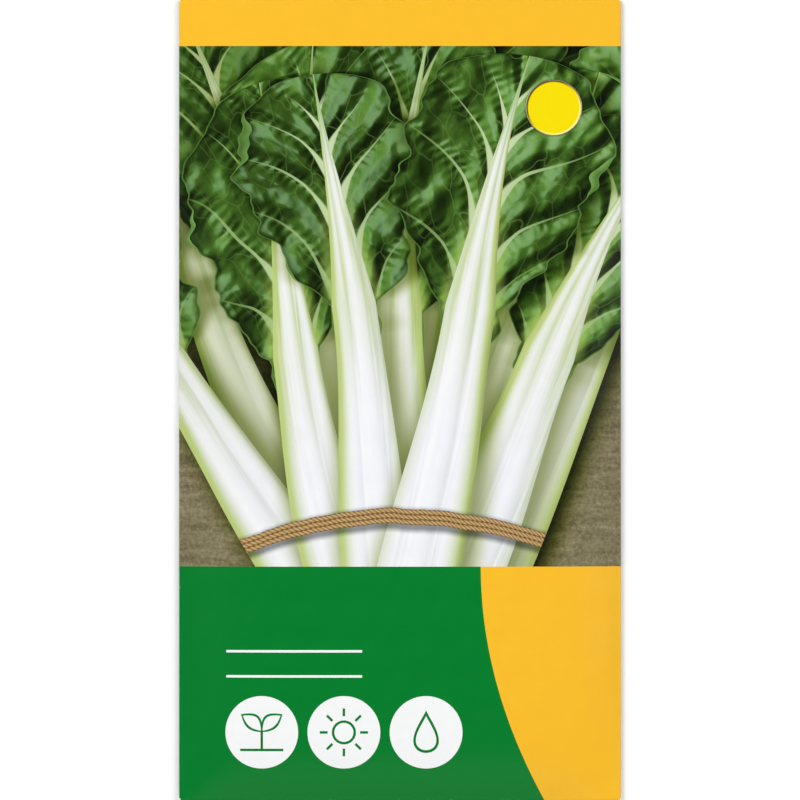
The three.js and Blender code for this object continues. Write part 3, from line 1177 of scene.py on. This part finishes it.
class Sheet:
    """Sizes of the folded sheet, taken from its solid."""

    def __init__(self):
        low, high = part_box("envelope_paper")
        self.half_width = (high.x - low.x) / 2
        self.half_height = (high.y - low.y) / 2
        self.flap_level = low.z + PAPER / 2
        self.lap_level = self.flap_level + PAPER + GLUE_GAP
        self.back_level = self.lap_level + PAPER + GLUE_GAP
        self.front_level = self.back_level + PAPER + FOLD_GAP
        self.fold_x = self.half_width - PAPER / 2 - (self.front_level - self.back_level) / 2
        self.fold_y = self.half_height - PAPER / 2 - (self.front_level - self.flap_level) / 2
        self.bulge = high.z - PAPER / 2 - self.front_level
        groups = [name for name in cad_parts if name.startswith("seed_group")]
        self.heap_top = max(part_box(name)[1].y for name in groups)
        self.seeds = np.array([top for name in sorted(groups) for top in highest_knobs(name)])


def highest_knobs(node):
    """Tops of the clusters of one seed group."""
    points = sorted((v.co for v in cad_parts[node].data.vertices), key=lambda p: -p.z)
    tops = []
    for point in points:
        if all((point.xy - top.xy).length > KNOBS_APART for top in tops):
            tops.append(point)
        if len(tops) == CLUSTERS_IN_GROUP:
            break
    return [(top.x, top.y) for top in tops]


def soft_step(values, low, high):
    """0 below low, 1 above high, and a soft step between them."""
    share = np.clip((values - low) / (high - low), 0, 1)
    return share * share * (3 - 2 * share)


def wandering_wave(along, aside, fineness, stray, stray_fineness, start=0.0):
    """A wave along one way whose crests stray with the way aside."""
    return np.sin(along * fineness + stray * np.sin(aside * stray_fineness) + start)


def front_rise(sheet, x, y):
    """Height of the front above its folds: the bulge, the seeds under it and the puckers at the folds."""
    across = 1 - np.abs(x / sheet.fold_x) ** FULLNESS_SIDES
    along = 1 - np.abs(y / sheet.fold_y) ** np.where(y < 0, FULLNESS_BOTTOM, FULLNESS_TOP)
    fade = soft_step(y, sheet.heap_top, sheet.heap_top + HEAP_FADE)
    held = across * along
    rise = sheet.bulge * held * (1 + (AIR_SHARE - 1) * fade)
    seeds = np.zeros_like(x)
    for seed_x, seed_y in sheet.seeds:
        seeds += np.exp(-((x - seed_x) ** 2 + (y - seed_y) ** 2) / (2 * SEED_SPREAD**2))
    rise += SEED_PRINT * np.minimum(seeds, SEED_PRINT_MOST) * held
    inset = sheet.fold_x - np.abs(x)
    turns = y / PUCKER_LENGTH * 2 * np.pi
    pucker = wandering_wave(turns, turns, 1.0, 1.3, 0.37, start=np.where(x < 0, 0.8, 2.1))
    at_fold = np.exp(-inset / PUCKER_REACH) * soft_step(inset, 0, PUCKER_INSET)
    rise += PUCKER_HEIGHT * pucker * at_fold * held
    wave = wandering_wave(x, y, 95, 1.7, 41) + wandering_wave(y, x, 73, -1.2, 58, start=0.6)
    rise += WAVE_HEIGHT * wave / 2 * soft_step(inset, 0, WAVE_INSET) * held
    return rise


def spread(start, end, step):
    """Even points from start to end, about a step apart."""
    count = max(1, round(abs(end - start) / step))
    return np.linspace(start, end, count + 1)


def fold_arc(edge, lower, upper):
    """Points of a half-turn fold, without its two ends, from the lower layer to the upper one."""
    radius = (upper - lower) / 2
    angles = np.linspace(-math.pi / 2, math.pi / 2, FOLD_STEPS + 1)[1:-1]
    return [
        (edge + math.copysign(radius, edge) * math.cos(a), (lower + upper) / 2 + radius * math.sin(a))
        for a in angles
    ]


# Zones of the sheet; the first three are also the places of their prints
FRONT, BACK, FLAP, TURN = range(4)

# Lines of points up the sheet and across it. A row's reach is the share of the flap's length that is
# passed, and its level is given on the flaps only.
Column = namedtuple("Column", "x level zone")
Row = namedtuple("Row", "y level reach on_flap")


def sheet_columns(sheet):
    """Across the sheet: inner back panel, left fold, front, right fold, outer back panel."""
    step_start = SEAM_HALF + SEAM_MARGIN
    step_end = step_start + SEAM_STEP
    back = sheet.back_level
    front = sheet.front_level
    columns = [Column(x, back, BACK) for x in spread(SEAM_HALF, -sheet.fold_x, BACK_STEP)]
    columns += [Column(x, z, TURN) for x, z in fold_arc(-sheet.fold_x, back, front)]
    columns += [Column(x, front, FRONT) for x in spread(-sheet.fold_x, sheet.fold_x, FINE_STEP)]
    columns += [Column(x, z, TURN) for x, z in reversed(fold_arc(sheet.fold_x, back, front))]
    columns += [Column(x, back, BACK) for x in spread(sheet.fold_x, step_end, BACK_STEP)]
    shares = np.linspace(0, 1, SEAM_STEPS + 1)[1:]
    for share, rise in zip(shares, soft_step(shares, 0, 1)):
        x = step_end + (step_start - step_end) * share
        columns.append(Column(x, back + (sheet.lap_level - back) * rise, BACK))
    outer = spread(step_start, -SEAM_HALF, BACK_STEP)[1:]
    return columns + [Column(x, sheet.lap_level, BACK) for x in outer]


def sheet_rows(sheet):
    """Along the sheet: bottom flap, bottom fold, panels, top fold, top flap."""

    def flap(side, length):
        arc = reversed(fold_arc(side * sheet.fold_y, sheet.flap_level, sheet.front_level))
        turned = [Row(y, z, 0.0, True) for y, z in arc]
        flat = [
            Row(side * (sheet.fold_y - reach * length), sheet.flap_level, reach, True)
            for reach in np.linspace(0, 1, FLAP_STEPS + 1)
        ]
        return turned + flat

    panels = [Row(y, None, 0.0, False) for y in spread(-sheet.fold_y, sheet.fold_y, FINE_STEP)]
    return flap(-1, BOTTOM_FLAP)[::-1] + panels + flap(1, TOP_FLAP)


def sheet_points(sheet, columns, rows):
    """Points of the sheet's middle surface, and the number of each by column and row, or -1 if none."""
    points = []
    index = -np.ones((len(columns), len(rows)), int)
    for i, column in enumerate(columns):
        for j, row in enumerate(rows):
            if row.on_flap and column.zone != FRONT:
                continue
            index[i, j] = len(points)
            narrowing = 1 - FLAP_TAPER * row.reach / sheet.fold_x
            points.append((column.x * narrowing, row.y, row.level if row.on_flap else column.level))
    points = np.array(points)
    panel = [j for j, row in enumerate(rows) if not row.on_flap]
    for i, column in enumerate(columns):
        if column.zone == FRONT:
            line = index[i, panel]
            points[line, 2] += front_rise(sheet, points[line, 0], points[line, 1])
    return points, index


def sheet_faces(sheet, columns, rows, index):
    """Faces between neighbouring points, and the zone whose print each one bears."""
    middle_level = (sheet.flap_level + sheet.front_level) / 2
    faces = []
    zones = []
    for i in range(len(columns) - 1):
        for j in range(len(rows) - 1):
            corners = (index[i, j], index[i + 1, j], index[i + 1, j + 1], index[i, j + 1])
            if min(corners) < 0:
                continue
            faces.append([int(c) for c in corners])
            on_flap = rows[j].on_flap and rows[j + 1].on_flap and rows[j].level < middle_level
            at_front = columns[i].zone != BACK and columns[i + 1].zone != BACK
            zones.append(FLAP if on_flap else FRONT if at_front else BACK)
    return faces, zones


def new_piece(name, points, faces, materials, smooth_faces=True):
    """A new object of these points and faces."""
    mesh = bpy.data.meshes.new(name)
    mesh.from_pydata([tuple(p) for p in points], [], faces)
    for material in materials:
        mesh.materials.append(material)
    if smooth_faces:
        mesh.shade_smooth()
    piece = bpy.data.objects.new(name, mesh)
    bpy.context.scene.collection.objects.link(piece)
    return piece


def applied(piece):
    """The piece with its modifiers made into its mesh."""
    bpy.context.view_layer.update()
    seen = piece.evaluated_get(bpy.context.evaluated_depsgraph_get())
    mesh = bpy.data.meshes.new_from_object(seen)
    piece.modifiers.clear()
    piece.data = mesh
    return piece


def folded_sheet(sheet, outer, inside, cut_edge):
    """The whole sheet of paper, print outside, bare paper inside and at its cut edges."""
    columns = sheet_columns(sheet)
    rows = sheet_rows(sheet)
    points, index = sheet_points(sheet, columns, rows)
    faces, zones = sheet_faces(sheet, columns, rows, index)
    prints = len(outer)
    materials = [*outer, *[inside] * prints, *[cut_edge] * prints]
    piece = new_piece("printed_envelope", points, faces, materials)
    piece.data.polygons.foreach_set("material_index", zones)
    thickness = piece.modifiers.new("paper", "SOLIDIFY")
    thickness.thickness = PAPER
    thickness.offset = 0
    thickness.material_offset = prints
    thickness.material_offset_rim = 2 * prints
    applied(piece)
    piece.data.set_sharp_from_angle(angle=SHARP_FOLD)
    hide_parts("envelope_paper")
    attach(piece, "root")


# The round label

LABEL_SIDES = 120
LABEL_RINGS = 10
LABEL_TOP = 0.14 * MM
LABEL_BOTTOM = 0.03 * MM
LABEL_LEAST_RADIUS = 0.02 * MM
FOIL_WIDTH = 0.24 * MM
FOIL_RISE = 0.1 * MM
FOIL_STEPS = 8
SHARP_RIM = math.radians(60)


def turned_disc(name, sheet, centre, rings, material):
    """A closed solid of rings of points about the label's centre, each ring a (radius, height)."""
    turns = np.linspace(0, 2 * math.pi, LABEL_SIDES, endpoint=False)
    points = []
    for radius, height in rings:
        x = centre.x + radius * np.cos(turns)
        y = centre.y + radius * np.sin(turns)
        z = sheet.front_level + PAPER / 2 + front_rise(sheet, x, y) + height
        points += list(zip(x, y, z))
    faces = []
    for ring in range(len(rings)):
        start = ring * LABEL_SIDES
        following = (ring + 1) % len(rings) * LABEL_SIDES
        for i in range(LABEL_SIDES):
            j = (i + 1) % LABEL_SIDES
            faces.append([start + i, following + i, following + j, start + j])
    piece = new_piece(name, points, faces, [material])
    piece.data.set_sharp_from_angle(angle=SHARP_RIM)
    return piece


def round_label(sheet, fibre):
    """The label's paper face, and the foil bead around it."""
    low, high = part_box("round_label")
    centre = (low + high) / 2
    radius = (high.x - low.x) / 2
    inner = radius - FOIL_WIDTH
    face_material = label_paper(fibre, centre, inner)
    foil_material = silver_foil(fibre)
    radii = np.linspace(LABEL_LEAST_RADIUS, inner, LABEL_RINGS)
    face = [(r, LABEL_TOP) for r in radii] + [(r, LABEL_BOTTOM) for r in radii[::-1]]
    label = turned_disc("label_face", sheet, centre, face[::-1], face_material)
    arc = np.linspace(0, math.pi, FOIL_STEPS + 1)
    middle = (radius + inner) / 2
    bead = [(middle - FOIL_WIDTH / 2 * math.cos(a), LABEL_TOP + FOIL_RISE * math.sin(a)) for a in arc]
    bead += [(radius, LABEL_BOTTOM), (inner, LABEL_BOTTOM)]
    ring = turned_disc("label_rim", sheet, centre, bead[::-1], foil_material)
    for piece in (label, ring):
        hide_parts("round_label")
        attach(piece, "root")


# Floor, light and camera

FLOOR_HALF = 1.5
FLOOR_GAP = 0.03 * MM


def add_floor(material):
    """A wide plane a hair below the packet, so that their faces don't coincide."""
    signs = ((-1, -1), (1, -1), (1, 1), (-1, 1))
    corners = [(right * FLOOR_HALF, up * FLOOR_HALF, -FLOOR_GAP) for right, up in signs]
    floor = new_piece("table", corners, [(0, 1, 2, 3)], [material], smooth_faces=False)


# Soft boxes: name, place, width and power
SOFTBOXES = (
    ("key_light", (-0.75, 0.55, 0.8), 0.7, 10.3),
    ("fill_light", (0.85, 0.25, 0.75), 0.7, 6.7),
    ("front_light", (0.0, -0.95, 0.8), 0.8, 5.9),
)
STUDIO_WHITE = (1, 1, 1, 1)
STUDIO_STRENGTH = 0.14


def add_softbox(name, place_at, size, power):
    """A square soft box that faces the packet."""
    light = bpy.data.lights.new(name, "AREA")
    light.shape = "RECTANGLE"
    light.size = size
    light.size_y = size
    light.energy = power
    lamp = bpy.data.objects.new(name, light)
    bpy.context.scene.collection.objects.link(lamp)
    lamp.location = place_at
    lamp.rotation_euler = (-Vector(place_at)).to_track_quat("-Z", "Y").to_euler()


def add_light():
    for softbox in SOFTBOXES:
        add_softbox(*softbox)
    world = bpy.data.worlds.new("studio")
    world.use_nodes = True
    background = world.node_tree.nodes["Background"]
    background.inputs["Color"].default_value = STUDIO_WHITE
    background.inputs["Strength"].default_value = STUDIO_STRENGTH
    bpy.context.scene.world = world


CAMERA_HEIGHT = 1.6
VIEW_HEIGHT = 163.0 * MM


def add_camera(sheet):
    """Straight above the packet, through a long lens, its top and bottom just filling the frame."""
    camera = bpy.data.cameras.new("camera")
    camera.lens = camera.sensor_width * (CAMERA_HEIGHT - sheet.front_level) / VIEW_HEIGHT
    holder = bpy.data.objects.new("camera", camera)
    bpy.context.scene.collection.objects.link(holder)
    holder.location = (0, 0, CAMERA_HEIGHT)
    bpy.context.scene.camera = holder


# Everything together

INSIDE_COLOUR = ink(226, 224, 214)
CUT_EDGE_COLOUR = ink(236, 234, 226)


def dress(node, material):
    """Give the solid itself this material."""
    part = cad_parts[node]
    part.data.materials.clear()
    part.data.materials.append(material)


def build():
    sheet = Sheet()
    half_width = sheet.half_width / MM
    half_height = sheet.half_height / MM
    fibre = make_paper_fibre()
    wear = make_fold_wear()

    def front_colour(tree, point):
        return front_print(tree, point, half_height)

    outer = [
        printed(name, fibre, wear, colour, half_width, half_height)
        for name, colour in (
            ("front_print", front_colour),
            ("back_print", back_print),
            ("flap_print", plain_green),
        )
    ]
    inside = bare_paper("paper_inside", fibre, INSIDE_COLOUR)
    cut_edge = bare_paper("paper_cut_edge", fibre, CUT_EDGE_COLOUR)
    folded_sheet(sheet, outer, inside, cut_edge)
    round_label(sheet, fibre)
    glue = glue_material()
    husk = husk_material()
    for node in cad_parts:
        if node.endswith("glue"):
            dress(node, glue)
        if node.startswith("seed_group"):
            dress(node, husk)
    add_floor(table_top())
    add_light()
    add_camera(sheet)
    bpy.context.scene.view_settings.view_transform = "Standard"


build()
